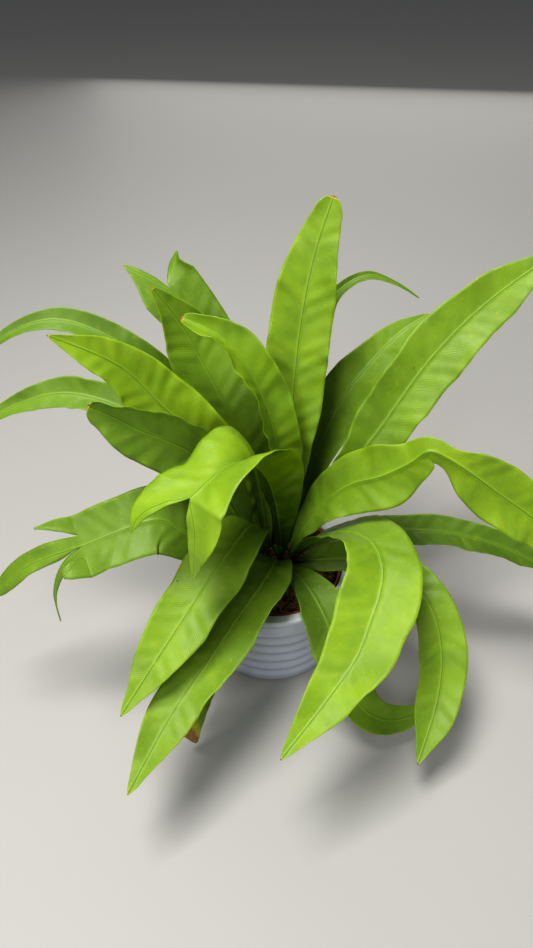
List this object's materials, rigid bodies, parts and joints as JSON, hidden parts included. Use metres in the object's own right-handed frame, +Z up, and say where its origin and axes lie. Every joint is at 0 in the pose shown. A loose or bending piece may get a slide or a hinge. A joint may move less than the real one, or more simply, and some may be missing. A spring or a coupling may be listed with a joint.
{
  "type": "potted fern",
  "caption": "Potted bird's-nest type fern: arching strap-shaped fronds, some forked, in a plastic nursery pot inside a ribbed cover pot.",
  "frame": {"origin": "centre of the cover pot's foot, on the surface that it stands on", "axes": "+Z up; -Y towards the side from which the plant is normally seen; +X to the right from there"},
  "size_m": [0.4907, 0.3184, 0.3771],
  "materials": {
    "glaze": "pale blue-grey satin glaze, lighter on the flat rim",
    "nursery_plastic": "moulded terracotta-coloured polypropylene",
    "coir_mix": null,
    "rhizome": "dark brown, scaly",
    "frond": null
  },
  "bodies": {
    "root": {"cover_pot": "glaze", "nursery_pot": "nursery_plastic", "potting_mix": "coir_mix", "crown": "rhizome", "frond_back_tall": "frond", "frond_back_right_long": "frond", "frond_back_right_inner": "frond", "frond_back_narrow": "frond", "frond_back_forked": "frond", "frond_back_left": "frond", "frond_left_rolled": "frond", "frond_left_bright": "frond", "frond_left_far": "frond", "frond_left_level": "frond", "frond_left_folded": "frond", "frond_centre_star": "frond", "frond_left_three_tips": "frond", "frond_front_left_upper": "frond", "frond_front_left_lower": "frond", "frond_front_left_browned": "frond", "frond_front_curled": "frond", "frond_front_right": "frond", "frond_right_hanging": "frond", "frond_right_arching": "frond", "frond_right_low": "frond", "frond_young": "frond"}
  },
  "joints": []
}
